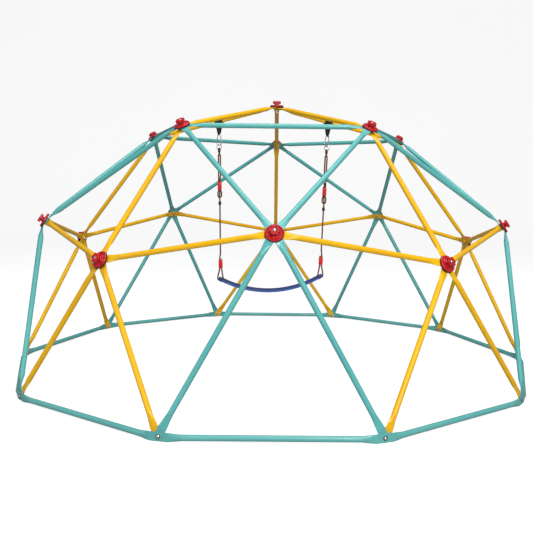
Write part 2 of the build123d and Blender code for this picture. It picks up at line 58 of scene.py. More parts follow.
# Sizes taken over from the part.
base_radius = 1.5
rope_radius = 5 * mm
rope_spacing = 10.6 * mm
ring_wire_radius = 2.25 * mm
ring_yaw = 35
sleeve_half = 24.5 * mm
link_gap = 0.4 * mm
rope_bend = 6.5 * mm
easy_bend = 2 * rope_bend
rope_lead = 3 * mm
leg_cross = 25 * mm
eye_splice = 52 * mm
eye_shoulder = 15 * mm
eye_half_width = 10.6 * mm
weave_start = 8 * mm
weave_end = 4 * mm
weave_stay = 12 * mm
loop_reach = 9.1 * mm
loop_depth = 11.6 * mm
loop_rise = 1.8 * mm
knot_drop = 108 * mm
knot_half = 17 * mm
rope_set_back = 12.8 * mm
standing_rope_gap = 1 * mm
contact_gap = 0.1 * mm
strap_eye_radius = 6.8 * mm
tube_radius = 12.7 * mm
strap_slack = 1.3 * mm
strap_thickness = 3 * mm
seat_thickness = 10 * mm
seat_hole_inset = 30 * mm
apex_tube_count = 5

# Taken off the apex tubes' box for their stacked ends, to find how steeply they fall.
end_allowance = 20 * mm

# Brightness of the white surroundings: what they light the dome with, and how they look.
surround_light = 0.31
surround_seen = 0.94
floor_glow = 0.80
floor_gap = 1 * mm

# Height above the floor that the camera's place is counted from.
ground_level = 19 * mm

# Rope: the two legs of the doubled rope hang closer together here than in the part.
leg_spread = 5.4 * mm
rope_step = 2 * mm
rope_arc_step = 1.5 * mm
strand_count = 3
strand_radius = 2.45 * mm
strand_lay = 2.5 * mm
strand_pitch = 34 * mm
strand_sides = 8
cord_end_share = 0.72

# Stopper knot: one cord wound round the rope, thinner towards its two ends.
wrap_turns = 4.5
wrap_steps_per_turn = 28
wrap_radius = 2.4 * mm
wrap_half_length = 12 * mm
wrap_press = 0.9
wrap_taper = 0.16
wrap_sides = 10

# Melted rope ends: a short sheath from below the rope's end to just above it.
tail_steps = 5
tail_step = 1.2 * mm
tail_overlap = 3.5 * mm
tail_share = 0.98
tail_sides = 16

# Webbing: narrow at the hook, wider at its shoulder, and full from a drop below its top.
webbing_thickness = 2 * mm
webbing_width = 50 * mm
webbing_neck = 12 * mm
webbing_shoulder = 20 * mm
neck_top = 4 * mm
shoulder_top = 9 * mm
full_width_drop = 27 * mm
widening = 1.6
webbing_gap = 0.2 * mm
webbing_arc_points = 24
webbing_step = 1.6 * mm
webbing_columns = 36
webbing_rim = 0.4 * mm
fold_depth = 1.4 * mm
fold_count = 3.5
fold_onset = 1.5

# Stitching: rows of short cords across both legs of a strap.
stitch_length = 3 * mm
stitch_pitch = 4.2 * mm
stitch_heights = (58 * mm, 64 * mm, 86 * mm, 92 * mm)
stitch_row_share = 0.8
stitch_wobble = 0.2
stitch_points = 5
stitch_dip = 0.25 * mm
stitch_lift = 0.1 * mm
thread_radius = 0.5 * mm
thread_sides = 8

# Seat: softened mesh and the grip ribs across its top.
seat_voxel = 1.6 * mm
rib_pitch = 9 * mm
rib_height = 0.8 * mm
rib_half_width = 47 * mm
rib_end_gap = 62 * mm
rib_above = 1 * mm

weld_distance = 0.01 * mm
sleeve_edge = 0.7 * mm


# ---------------------------------------------------------------- shader helpers


class Shader:
    """A new material with short calls for the nodes these materials are made of."""

    def __init__(self, name, roughness, metallic=0.0):
        self.material = bpy.data.materials.new(name)
        self.material.use_nodes = True
        self.tree = self.material.node_tree
        self.surface = self.tree.nodes["Principled BSDF"]
        self.surface.inputs["Roughness"].default_value = roughness
        self.surface.inputs["Metallic"].default_value = metallic
        self.place = self.node("ShaderNodeTexCoord").outputs["Object"]

    def node(self, kind, **settings):
        made = self.tree.nodes.new(kind)
        for key, value in settings.items():
            setattr(made, key, value)
        return made

    def link(self, output, target):
        self.tree.links.new(output, target)

    def stretched(self, scale, source=None):
        """Coordinates scaled per axis."""
        mapping = self.node("ShaderNodeMapping")
        mapping.inputs["Scale"].default_value = scale
        self.link(source or self.place, mapping.inputs["Vector"])
        return mapping.outputs["Vector"]

    def noise(self, scale, detail, rough=0.55, where=None):
        made = self.node("ShaderNodeTexNoise")
        made.inputs["Scale"].default_value = scale
        made.inputs["Detail"].default_value = detail
        made.inputs["Roughness"].default_value = rough
        self.link(where or self.place, made.inputs["Vector"])
        return made.outputs["Fac"]

    def wave(self, scale, direction, where, distortion):
        made = self.node("ShaderNodeTexWave", bands_direction=direction)
        made.inputs["Scale"].default_value = scale
        made.inputs["Distortion"].default_value = distortion
        self.link(where, made.inputs["Vector"])
        return made.outputs["Fac"]

    def cells(self, scale):
        made = self.node("ShaderNodeTexVoronoi")
        made.inputs["Scale"].default_value = scale
        self.link(self.place, made.inputs["Vector"])
        return made.outputs["Distance"]

    def ramp(self, value, low, high, start=0.0, end=1.0):
        """Value squeezed from low..high to start..end."""
        made = self.node("ShaderNodeMapRange")
        for key, number in zip(("From Min", "From Max", "To Min", "To Max"), (low, high, start, end)):
            made.inputs[key].default_value = number
        self.link(value, made.inputs["Value"])
        return made.outputs["Result"]

    def math(self, operation, first, second):
        """Sum, product or the like of two values, each a number or an output."""
        made = self.node("ShaderNodeMath", operation=operation)
        for socket, value in zip(made.inputs, (first, second)):
            if isinstance(value, (int, float)):
                socket.default_value = value
            else:
                self.link(value, socket)
        return made.outputs["Value"]

    def mix(self, factor, first, second):
        """Blend of two colours by an output; each of the two is a colour or an output."""
        made = self.node("ShaderNodeMix", data_type="RGBA")
        self.link(factor, made.inputs["Factor"])
        for socket, value in ((made.inputs["A"], first), (made.inputs["B"], second)):
            if isinstance(value, tuple):
                socket.default_value = (*value, 1)
            else:
                self.link(value, socket)
        return made.outputs["Result"]

    def colour(self, output):
        self.link(output, self.surface.inputs["Base Color"])

    def roughness(self, output):
        self.link(output, self.surface.inputs["Roughness"])

    def bump(self, height, strength, depth):
        """Adds a bump of the given depth in metres on top of the ones already there."""
        made = self.node("ShaderNodeBump")
        made.inputs["Strength"].default_value = strength
        made.inputs["Distance"].default_value = depth
        self.link(height, made.inputs["Height"])
        normal = self.surface.inputs["Normal"]
        if normal.is_linked:
            self.link(normal.links[0].from_socket, made.inputs["Normal"])
        self.link(made.outputs["Normal"], normal)

    def painted_groove_shade(self, reach):
        """Painted shade from ambient occlusion: 0 in a groove, 1 on an open surface."""
        made = self.node("ShaderNodeAmbientOcclusion", samples=8)
        made.inputs["Distance"].default_value = reach
        return self.ramp(made.outputs["AO"], 0.25, 0.85)

    def height_above_ground(self):
        parts = self.node("ShaderNodeSeparateXYZ")
        self.link(self.place, parts.inputs["Vector"])
        return parts.outputs["Z"]

    def uv(self, name):
        return self.node("ShaderNodeUVMap", uv_map=name).outputs["UV"]


# ---------------------------------------------------------------- materials


def powder_coat(name, base, shade, worn):
    """Powder-coated steel tube: orange peel, soft fading, small scuffs and dusty feet."""
    paint = Shader(name, 0.34)
    fade = paint.ramp(paint.noise(2.2, 5), 0.35, 0.7)
    body = paint.mix(fade, base, shade)
    scuffs = paint.ramp(paint.noise(55, 9, 0.75), 0.66, 0.72)
    body = paint.mix(paint.math("MULTIPLY", scuffs, 0.35), body, worn)
    dust = paint.ramp(paint.height_above_ground(), 0.0, 0.07, 0.14, 0.0)
    speckle = paint.ramp(paint.noise(190, 6), 0.4, 0.62)
    body = paint.mix(paint.math("MULTIPLY", dust, speckle), body, (0.42, 0.37, 0.30))
    paint.colour(body)
    paint.roughness(paint.ramp(paint.noise(38, 6), 0.3, 0.75, 0.24, 0.46))
    paint.surface.inputs["Coat Weight"].default_value = 0.12
    paint.surface.inputs["Specular IOR Level"].default_value = 0.35
    paint.surface.inputs["Coat Roughness"].default_value = 0.18
    paint.bump(paint.noise(700, 2), 0.16, 0.25 * mm)
    paint.bump(scuffs, 0.2, -0.12 * mm)
    return paint.material


def glossy_plastic(name, base, deep):
    """Injection-moulded plastic with faint flow marks, scuffs and a soft bloom."""
    plastic = Shader(name, 0.3)
    flow = plastic.noise(14, 4, where=plastic.stretched((1, 1, 2.5)))
    body = plastic.mix(plastic.ramp(flow, 0.35, 0.7), base, deep)
    rubs = plastic.ramp(plastic.noise(120, 8, 0.7), 0.6, 0.7)
    body = plastic.mix(plastic.math("MULTIPLY", rubs, 0.12), body, (0.85, 0.30, 0.28))
    plastic.colour(body)
    plastic.roughness(plastic.ramp(plastic.noise(60, 5), 0.3, 0.7, 0.2, 0.42))
    plastic.surface.inputs["Subsurface Weight"].default_value = 0.04
    plastic.surface.inputs["Subsurface Radius"].default_value = (0.004, 0.001, 0.001)
    plastic.bump(plastic.noise(900, 2), 0.12, 0.15 * mm)
    plastic.bump(rubs, 0.15, -0.08 * mm)
    return plastic.material


def dark_rubber(name, base, dusty):
    """Matt rubber or nylon with a dusty grain."""
    rubber = Shader(name, 0.72)
    grain = rubber.noise(420, 5)
    rubber.colour(rubber.mix(rubber.ramp(rubber.noise(30, 5), 0.42, 0.75), base, dusty))
    rubber.roughness(rubber.ramp(grain, 0.3, 0.7, 0.55, 0.85))
    rubber.bump(grain, 0.3, 0.2 * mm)
    return rubber.material


def bare_metal(name, base, dull, smooth, rough):
    """Zinc or chrome plate with fine brushing, crystal mottling and finger-dulled patches."""
    metal = Shader(name, smooth, 1.0)
    mottle = metal.cells(260)
    patch = metal.ramp(metal.noise(70, 6), 0.4, 0.68)
    body = metal.mix(metal.ramp(mottle, 0.0, 0.8, 0.0, 0.5), base, dull)
    metal.colour(metal.mix(metal.math("MULTIPLY", patch, 0.4), body, dull))
    metal.roughness(metal.ramp(patch, 0.0, 1.0, smooth, rough))
    brush = metal.noise(300, 3, where=metal.stretched((1, 1, 14)))
    metal.bump(brush, 0.12, 0.1 * mm)
    return metal.material


def webbing_cloth():
    """Black polypropylene webbing: ribs along it, picks across it, and worn fuzz."""
    cloth = Shader("webbing", 0.62)
    flat = cloth.uv("length")
    ribs = cloth.wave(95, "X", flat, 0.6)
    picks = cloth.wave(150, "Y", flat, 0.8)
    weave = cloth.math("MAXIMUM", ribs, cloth.math("MULTIPLY", picks, 0.8))
    fuzz = cloth.ramp(cloth.noise(260, 8, 0.7), 0.5, 0.72)
    thread = cloth.mix(weave, (0.002, 0.002, 0.003), (0.012, 0.012, 0.016))
    cloth.colour(cloth.mix(cloth.math("MULTIPLY", fuzz, 0.4), thread, (0.04, 0.04, 0.045)))
    cloth.roughness(cloth.ramp(fuzz, 0, 1, 0.5, 0.8))
    cloth.surface.inputs["Sheen Weight"].default_value = 0.06
    cloth.surface.inputs["Specular IOR Level"].default_value = 0.25
    cloth.bump(weave, 0.55, 0.35 * mm)
    cloth.bump(fuzz, 0.2, 0.15 * mm)
    return cloth.material


def rope_fibre(name, base, dark, pale):
    """Twisted brown rope yarn: fibres along each strand, painted shade in the grooves between strands and pale
    fluff.
    """
    fibre = Shader(name, 0.75)
    lie = fibre.uv("length")
    yarns = fibre.wave(150, "X", fibre.stretched((1, 0.22, 1), lie), 3.5)
    threads = fibre.noise(900, 4, where=fibre.stretched((6, 0.5, 1), lie))
    patches = fibre.ramp(fibre.noise(45, 5), 0.42, 0.62)
    body = fibre.mix(fibre.ramp(yarns, 0.15, 0.8), dark, base)
    body = fibre.mix(fibre.math("MULTIPLY", patches, 0.7), body, dark)
    fluff = fibre.ramp(threads, 0.58, 0.74)
    body = fibre.mix(fibre.math("MULTIPLY", fluff, 0.3), body, pale)
    # Painted shade: the grooves between strands are darkened by ambient occlusion.
    fibre.colour(fibre.mix(fibre.painted_groove_shade(4 * mm), dark, body))
    fibre.roughness(fibre.ramp(threads, 0.3, 0.7, 0.6, 0.88))
    fibre.surface.inputs["Sheen Weight"].default_value = 0.05
    fibre.surface.inputs["Specular IOR Level"].default_value = 0.3
    fibre.bump(yarns, 0.5, 0.4 * mm)
    fibre.bump(threads, 0.35, 0.25 * mm)
    return fibre.material


def seat_plastic():
    """Blue moulded belt: leather-like grain, worn patches, painted shade that darkens the upward-facing top and a
    painted highlight that brightens the sharp edges.
    """
    belt = Shader("seat_belt", 0.42)
    grain = belt.cells(330)
    wear = belt.ramp(belt.noise(16, 6, 0.65), 0.42, 0.68)
    geometry = belt.node("ShaderNodeNewGeometry")
    facing = belt.node("ShaderNodeSeparateXYZ")
    belt.link(geometry.outputs["Normal"], facing.inputs["Vector"])
    # Painted shade: faces turned upwards get a darker blue than the sides.
    top = belt.ramp(facing.outputs["Z"], 0.35, 0.85)
    body = belt.mix(top, (0.006, 0.080, 0.40), (0.008, 0.040, 0.18))
    # Painted highlight: sharp convex edges are brightened towards a lighter blue.
    edge = belt.ramp(geometry.outputs["Pointiness"], 0.52, 0.6)
    body = belt.mix(belt.math("MULTIPLY", edge, 0.5), body, (0.02, 0.18, 0.62))
    belt.colour(belt.mix(belt.math("MULTIPLY", wear, 0.3), body, (0.02, 0.075, 0.26)))
    belt.roughness(belt.ramp(wear, 0, 1, 0.32, 0.55))
    belt.bump(grain, 0.3, 0.35 * mm)
    belt.bump(belt.noise(90, 4), 0.15, 0.4 * mm)
    return belt.material


def backdrop_paint():
    """Pale matt studio floor that glows for the camera only, as if lit by lamps of its own."""
    paint = Shader("backdrop", 0.9)
    pale = paint.mix(paint.noise(0.6, 3), (0.36, 0.365, 0.37), (0.40, 0.405, 0.41))
    paint.colour(pale)
    seen = paint.node("ShaderNodeLightPath").outputs["Is Camera Ray"]
    paint.surface.inputs["Emission Color"].default_value = (1, 1, 1, 1)
    paint.link(paint.math("MULTIPLY", seen, floor_glow), paint.surface.inputs["Emission Strength"])
    paint.bump(paint.noise(160, 3), 0.05, 0.5 * mm)
    return paint.material


looks = {
    "tube_yellow": powder_coat(
        "yellow_powder_coat", (0.84, 0.47, 0.0), (0.72, 0.38, 0.0), (0.52, 0.34, 0.03)
    ),
    "tube_teal": powder_coat(
        "teal_powder_coat", (0.11, 0.43, 0.42), (0.075, 0.37, 0.37), (0.22, 0.42, 0.40)
    ),
    "cap_red": glossy_plastic("red_cap_plastic", (0.52, 0.004, 0.010), (0.36, 0.003, 0.012)),
    "gasket_black": dark_rubber("gasket_rubber", (0.012, 0.012, 0.014), (0.05, 0.048, 0.045)),
    "zinc_hardware": bare_metal("zinc_plate", (0.60, 0.59, 0.57), (0.38, 0.37, 0.35), 0.26, 0.5),
    "washer_black": dark_rubber("washer_nylon", (0.015, 0.016, 0.018), (0.06, 0.06, 0.06)),
    "webbing_black": webbing_cloth(),
    "hook_steel": bare_metal("bright_steel", (0.72, 0.71, 0.69), (0.50, 0.49, 0.47), 0.14, 0.34),
    "rope_brown": rope_fibre("brown_rope", (0.34, 0.12, 0.045), (0.045, 0.016, 0.008), (0.52, 0.27, 0.14)),
    "sleeve_red": glossy_plastic("red_sleeve_plastic", (0.72, 0.012, 0.018), (0.55, 0.008, 0.012)),
    "seat_blue": seat_plastic(),
    "rope_dark": rope_fibre("dark_rope", (0.12, 0.05, 0.028), (0.03, 0.013, 0.008), (0.25, 0.14, 0.09)),
    "thread": dark_rubber("stitch_thread", (0.10, 0.115, 0.16), (0.22, 0.24, 0.30)),
    "rope_burnt": dark_rubber("melted_rope", (0.02, 0.012, 0.01), (0.06, 0.04, 0.03)),
}


def dress(piece, look):
    piece.data.materials.clear()
    piece.data.materials.append(look)


# ---------------------------------------------------------------- curves and meshes


def rounded(stops, spacing):
    """Points of straight runs joined by arcs; each stop is a point and a bend radius."""
    smallest_turn = 0.01
    line = [stops[0][0]]
    for (before, _), (corner, radius), (after, _) in zip(stops, stops[1:], stops[2:]):
        come = (corner - before).normalized()
        leave = (after - corner).normalized()
        turn = come.angle(leave, 0)
        if turn < smallest_turn:
            line.append(corner)
            continue
        reach = radius * math.tan(turn / 2)
        middle = corner + (leave - come).normalized() * (radius / math.cos(turn / 2))
        start = corner - come * reach - middle
        axis = start.cross(come)
        count = max(2, math.ceil(turn * radius / spacing))
        for index in range(count + 1):
            line.append(middle + Matrix.Rotation(turn * index / count, 3, axis) @ start)
    line.append(stops[-1][0])
    return line


def even(line, spacing):
    """The same line with its points at an even spacing."""
    hair = 1e-9
    lengths = [(b - a).length for a, b in zip(line, line[1:])]
    count = max(2, round(sum(lengths) / spacing))
    step = sum(lengths) / count
    points = [line[0]]
    walked = 0.0
    target = step
    for a, b, length in zip(line, line[1:], lengths):
        while target <= walked + length + hair and len(points) <= count:
            points.append(a.lerp(b, (target - walked) / max(length, hair)))
            target += step
        walked += length
    return points


def side_frames(line):
    """A tangent and two sideways directions at each point, without needless twist."""
    tangents = []
    for index in range(len(line)):
        ahead = line[min(index + 1, len(line) - 1)]
        behind = line[max(index - 1, 0)]
        tangents.append((ahead - behind).normalized())
    side = tangents[0].orthogonal().normalized()
    frames = []
    for tangent in tangents:
        side = (side - tangent * side.dot(tangent)).normalized()
        frames.append((tangent, side, tangent.cross(side)))
    return frames


def new_piece(name, points, faces, look, uvs=None):
    """Smooth mesh object in the part's frame; uvs holds one pair per vertex, in metres."""
    mesh = bpy.data.meshes.new(name)
    mesh.from_pydata(points, [], faces)
    mesh.validate()
    mesh.polygons.foreach_set("use_smooth", [True] * len(mesh.polygons))
    if uvs:
        layer = mesh.uv_layers.new(name="length")
        for loop in mesh.loops:
            layer.data[loop.index].uv = uvs[loop.vertex_index]
    piece = bpy.data.objects.new(name, mesh)
    bpy.context.collection.objects.link(piece)
    dress(piece, look)
    return piece


def add_cord(points, faces, uvs, line, radius, sides):
    """Adds a round cord with closed, narrowed ends to the lists of a mesh."""
    first = len(points)
    frames = side_frames(line)
    walked = 0.0
    last = len(line) - 1
    for index, (spot, (_, side, up)) in enumerate(zip(line, frames)):
        walked += (spot - line[index - 1]).length if index else 0.0
        size = radius * (cord_end_share if index in (0, last) else 1.0)
        for turn in range(sides):
            angle = 2 * math.pi * turn / sides
            points.append(spot + (side * math.cos(angle) + up * math.sin(angle)) * size)
            uvs.append((turn / sides * 2 * math.pi * radius, walked))
    for index in range(last):
        for turn in range(sides):
            low = first + index * sides
            high = low + sides
            after = (turn + 1) % sides
            faces.append((low + turn, low + after, high + after, high + turn))
    faces.append(tuple(first + turn for turn in reversed(range(sides))))
    faces.append(tuple(first + last * sides + turn for turn in range(sides)))


def twisted_rope(name, line):
    """Strands laid round one line."""
    frames = side_frames(line)
    points, faces, uvs = [], [], []
    for strand in range(strand_count):
        walked = 0.0
        course = []
        for index, (spot, (_, side, up)) in enumerate(zip(line, frames)):
            walked += (spot - line[index - 1]).length if index else 0.0
            angle = 2 * math.pi * (walked / strand_pitch + strand / strand_count)
            course.append(spot + (side * math.cos(angle) + up * math.sin(angle)) * strand_lay)
        add_cord(points, faces, uvs, course, strand_radius, strand_sides)
    return new_piece(name, points, faces, looks["rope_brown"], uvs)


# ---------------------------------------------------------------- the swing's geometry


class Side:
    """One hanging side of the swing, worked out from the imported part."""

    def __init__(self, name, inward):
        self.name = name
        self.inward = inward
        self.eye = Vector(joints[f"{name}_hook_swing"]["pos_m"])
        low_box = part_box(f"{name}_lower_sleeve")
        self.low_sleeve = (low_box[0] + low_box[1]) / 2
        self.down = (self.low_sleeve - self.eye).normalized()
        self.level = Vector((-self.down.z, 0, self.down.x))
        self.sleeve_drop = self.drop_of(f"{name}_upper_sleeve")
        self.low_sleeve_drop = (self.low_sleeve - self.eye).length
        self.ring_drop = self.drop_of(f"{name}_ring")
        ring_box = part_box(f"{name}_ring")
        self.ring_radius = (ring_box[1].z - ring_box[0].z) / 2 - ring_wire_radius

    def drop_of(self, node):
        low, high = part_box(node)
        return ((low + high) / 2 - self.eye).dot(self.down)

    def at(self, drop, across=0.0, forward=0.0):
        """Point at a drop below the eye, across towards +X, forward towards -Y."""
        return self.eye + self.down * drop + self.level * across + Vector((0, -forward, 0))


def seat_curve():
    """Centre and radius of the seat's curve, its upward and chord directions, and half its chord."""
    rock = joints["seat_rock"]
    chord = Vector(rock["axis"]).normalized()
    left_hole = Vector(rock["pos_m"])
    low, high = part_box("belt_seat")
    half = ((low.x + high.x) / 2 - left_hole.x) / chord.x
    up = chord.cross(Vector((0, 1, 0)))
    middle = left_hole + chord * half
    sag = (middle.z - low.z) / up.z - seat_thickness / 2
    radius = (half**2 + sag**2) / (2 * sag)
    return middle + up * (radius - sag), radius, up, chord, half


def seat_end(side):
    """End of the seat's middle surface, with the inward direction and the upward normal there."""
    centre, radius, up, chord, half = seat_curve()
    outward = chord * -side.inward
    angle = math.asin(half / radius) + seat_hole_inset / radius
    lean = outward * math.sin(angle) - up * math.cos(angle)
    inward = outward * -math.cos(angle) - up * math.sin(angle)
    return centre + lean * radius, inward, lean * -1


def rope_stops(side):
    """The rope's run: splice tail, eye, ring bend, back through the eye, and the seat loop."""
    rope_thickness = 2 * rope_radius
    outer = -side.inward * rope_spacing / 2
    inner = -outer
    wide = side.inward * eye_half_width
    spread = side.inward * leg_spread
    front = rope_thickness + standing_rope_gap
    top = side.sleeve_drop - sleeve_half
    foot = side.sleeve_drop + sleeve_half
    shoulder = foot + eye_shoulder
    eye_foot = foot + eye_splice - rope_radius
    weave = eye_foot - weave_end
    hug = ring_wire_radius + rope_radius + link_gap
    bend_top = side.ring_drop + side.ring_radius - hug
    leg_foot = bend_top + 2 * rope_thickness
    spread_top = leg_foot + leg_cross
    spread_foot = top - rope_thickness - leg_cross
    knot_top = side.sleeve_drop + knot_drop - knot_half
    low_top = side.low_sleeve_drop - sleeve_half
    low_foot = side.low_sleeve_drop + sleeve_half
    yaw = math.radians(side.inward * ring_yaw)
    swing_out = math.sin(yaw) * hug
    swing_front = math.cos(yaw) * hug
    tight = hug - link_gap
    round_eye = eye_half_width - contact_gap
    end, inward, normal = seat_end(side)
    return [
        (side.at(top - rope_bend, inner), 0),
        (side.at(foot + rope_lead, inner), easy_bend),
        (side.at(shoulder, wide), easy_bend),
        (side.at(eye_foot, wide), round_eye),
        (side.at(eye_foot, -wide), round_eye),
        (side.at(shoulder, -wide), easy_bend),
        (side.at(foot + rope_lead, outer), easy_bend),
        (side.at(top - rope_thickness, outer), easy_bend),
        (side.at(spread_foot, -spread), easy_bend),
        (side.at(spread_top, -spread), easy_bend),
        (side.at(leg_foot, swing_out, swing_front), easy_bend),
        (side.at(bend_top, swing_out, swing_front), tight),
        (side.at(bend_top, -swing_out, -swing_front), tight),
        (side.at(leg_foot, -swing_out, -swing_front), easy_bend),
        (side.at(spread_top, spread, -rope_set_back), easy_bend),
        (side.at(spread_foot, spread, -rope_set_back), easy_bend),
        (side.at(top - rope_thickness, 0, -rope_set_back), easy_bend),
        (side.at(foot + weave_start, 0, -rope_set_back), easy_bend),
        (side.at(weave, 0, front), easy_bend),
        (side.at(weave + weave_stay, 0, front), easy_bend),
        (side.at(knot_top), easy_bend),
        (side.at(low_top - 4 * rope_thickness), easy_bend),
        (side.at(low_top - rope_bend, outer), easy_bend),
        (side.at(low_foot + rope_lead, outer), easy_bend),
        (end - inward * loop_reach, rope_bend),
        (end - normal * loop_depth, rope_bend),
        (end + inward * seat_hole_inset - normal * loop_depth, rope_bend),
        (end + inward * seat_hole_inset + normal * loop_rise, rope_bend),
        (side.at(low_foot + rope_lead, inner), easy_bend),
        (side.at(low_top - rope_bend, inner), 0),
    ]


def make_rope(side):
    """Twisted rope in place of the plain one."""
    line = even(rounded(rope_stops(side), rope_arc_step), rope_step)
    rope = twisted_rope(f"{side.name}_twisted_rope", line)
    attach(rope, f"{side.name}_rope")
    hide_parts(f"{side.name}_rope")


def make_knot(side):
    """Stopper knot: cord wound closely round the rope, drawn in towards both ends."""
    middle = side.sleeve_drop + knot_drop
    coil = rope_radius + wrap_radius * wrap_press
    count = int(wrap_turns * wrap_steps_per_turn)
    line = []
    for index in range(count + 1):
        share = index / count
        angle = 2 * math.pi * wrap_turns * share
        drop = middle + (share - 0.5) * 2 * (wrap_half_length - wrap_radius)
        size = coil * (1 - wrap_taper * abs(2 * share - 1) ** 3)
        line.append(side.at(drop, math.cos(angle) * size, math.sin(angle) * size))
    points, faces, uvs = [], [], []
    add_cord(points, faces, uvs, line, wrap_radius, wrap_sides)
    knot = new_piece(f"{side.name}_stopper_knot", points, faces, looks["rope_dark"], uvs)
    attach(knot, f"{side.name}_rope")


def make_tails(side):
    """Melted black ends where the rope stops above each sleeve."""
    stops = rope_stops(side)
    points, faces, uvs = [], [], []
    for stop in (stops[0][0], stops[-1][0]):
        line = [stop + side.down * (tail_overlap - tail_step * index) for index in range(tail_steps)]
        add_cord(points, faces, uvs, line, rope_radius * tail_share, tail_sides)
    ends = new_piece(f"{side.name}_rope_ends", points, faces, looks["rope_burnt"], uvs)
    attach(ends, f"{side.name}_rope")


# ---------------------------------------------------------------- straps


def tube_slope():
    """Fall of the apex tubes away from the top of the dome, per metre of level run."""
    low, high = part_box("apex_tubes")
    return (high.z - low.z - end_allowance) / (max(high.x, -low.x) - end_allowance)


class Band:
    """The webbing of one strap: a closed loop round its tube and through its eye."""

    def __init__(self, side):
        azimuth = math.pi / 2 + 2 * math.pi / apex_tube_count * side.inward
        self.side = side
        self.slope = tube_slope()
        self.along = Vector((math.cos(azimuth), math.sin(azimuth), 0))
        self.across = Vector((0, 0, 1)).cross(self.along)
        self.loop = self.make_loop()
        self.top = max(spot.y for spot in self.loop)

    def make_loop(self):
        """Evenly spaced points round the tube and the eye, x across the tube and y up from the eye."""
        outside = tube_radius + strap_slack + strap_thickness
        strap_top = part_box(f"{self.side.name}_strap")[1].z
        rise = strap_top - self.side.eye.z - outside - self.slope * webbing_width / 2
        tube = Vector((-self.across.dot(self.side.eye), rise))
        big = tube_radius + strap_slack + webbing_gap
        small = strap_eye_radius + webbing_gap
        axis = tube.normalized()
        normal = Vector((-axis.y, axis.x))
        outline = []
        for middle, radius, turn in ((Vector((0, 0)), small, math.pi), (tube, big, 0.0)):
            for index in range(webbing_arc_points):
                angle = turn + math.pi * (index / (webbing_arc_points - 1) - 0.5)
                outline.append(middle + (axis * math.cos(angle) + normal * math.sin(angle)) * radius)
        closed = [spot.to_3d() for spot in outline + outline[:1]]
        return [spot.to_2d() for spot in even(closed, webbing_step)[:-1]]

    def climb(self, height):
        """Share of the way from the shoulder to where the band has its full width."""
        return (height - shoulder_top) / (self.top - full_width_drop - shoulder_top)

    def width(self, height):
        """Width of the band: gathered where the hook passes, full over the tube."""
        if height < neck_top:
            return webbing_neck
        if height < shoulder_top:
            share = (height - neck_top) / (shoulder_top - neck_top)
            return webbing_neck + (webbing_shoulder - webbing_neck) * share
        share = min(1.0, self.climb(height)) ** widening
        return webbing_shoulder + (webbing_width - webbing_shoulder) * share

    def spot(self, row, share, lift=0.0):
        """Point of the band at a row of its loop, share -0.5 to 0.5 across it, lifted outwards."""
        here = self.loop[row % len(self.loop)]
        before = self.loop[(row - 1) % len(self.loop)]
        after = self.loop[(row + 1) % len(self.loop)]
        course = (after - before).normalized()
        outward = Vector((course.y, -course.x))
        width = self.width(here.y)
        gather = (1 - width / webbing_width) ** fold_onset
        fold = (0.5 + 0.5 * math.cos(2 * math.pi * fold_count * share)) * fold_depth * gather
        settle = max(0.0, min(1.0, self.climb(here.y)))
        flat = here + outward * (fold + lift)
        level = share * width
        height = flat.y - level * self.slope * settle
        return self.side.eye + self.across * flat.x + self.along * level + Vector((0, 0, height))

    def row_at(self, height, leg):
        """Row of the loop nearest to a height on its first (0) or second (1) leg."""
        half = len(self.loop) // 2
        rows = [row for row in range(len(self.loop)) if (row > half) == bool(leg)]
        return min(rows, key=lambda row: abs(self.loop[row].y - height))


def make_strap(side):
    """Webbing band wrapped over its tube, gathered into folds where the hook passes."""
    band = Band(side)
    wide = webbing_columns + 1
    rows = len(band.loop)
    pace = (band.loop[1] - band.loop[0]).length
    points, faces, uvs = [], [], []
    for row in range(rows):
        for column in range(wide):
            share = column / webbing_columns - 0.5
            points.append(band.spot(row, share))
            uvs.append((share * webbing_width, row * pace))
        low = row * wide
        high = (row + 1) % rows * wide
        for column in range(webbing_columns):
            faces.append((low + column, low + column + 1, high + column + 1, high + column))
    strap = new_piece(f"{side.name}_webbing", points, faces, looks["webbing_black"], uvs)
    solid = strap.modifiers.new("thickness", "SOLIDIFY")
    solid.thickness = webbing_thickness
    solid.offset = 1
    rim = strap.modifiers.new("edge", "BEVEL")
    rim.width = webbing_rim
    rim.segments = 2
    rim.limit_method = "ANGLE"
    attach(strap, "root")
    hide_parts(f"{side.name}_strap")
    make_stitches(band)


def make_stitches(band):
    """Rows of thread across both legs of a strap, each stitch a short cord on the webbing."""
    lift = webbing_thickness + stitch_lift
    last = stitch_points - 1
    points, faces, uvs = [], [], []
    for leg in (0, 1):
        for height in stitch_heights:
            row = band.row_at(height, leg)
            width = band.width(height)
            count = int(width * stitch_row_share / stitch_pitch)
            for index in range(count):
                start = (index - count / 2) * stitch_pitch / width
                wobble = dice.uniform(-stitch_wobble, stitch_wobble) * stitch_pitch / width
                line = []
                for step in range(stitch_points):
                    share = start + wobble + step / last * stitch_length / width
                    dip = stitch_dip * abs(step - last / 2)
                    line.append(band.spot(row, share, lift - dip))
                add_cord(points, faces, uvs, line, thread_radius, thread_sides)
    thread = new_piece(f"{band.side.name}_stitches", points, faces, looks["thread"], uvs)
    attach(thread, "root")


# ---------------------------------------------------------------- seat


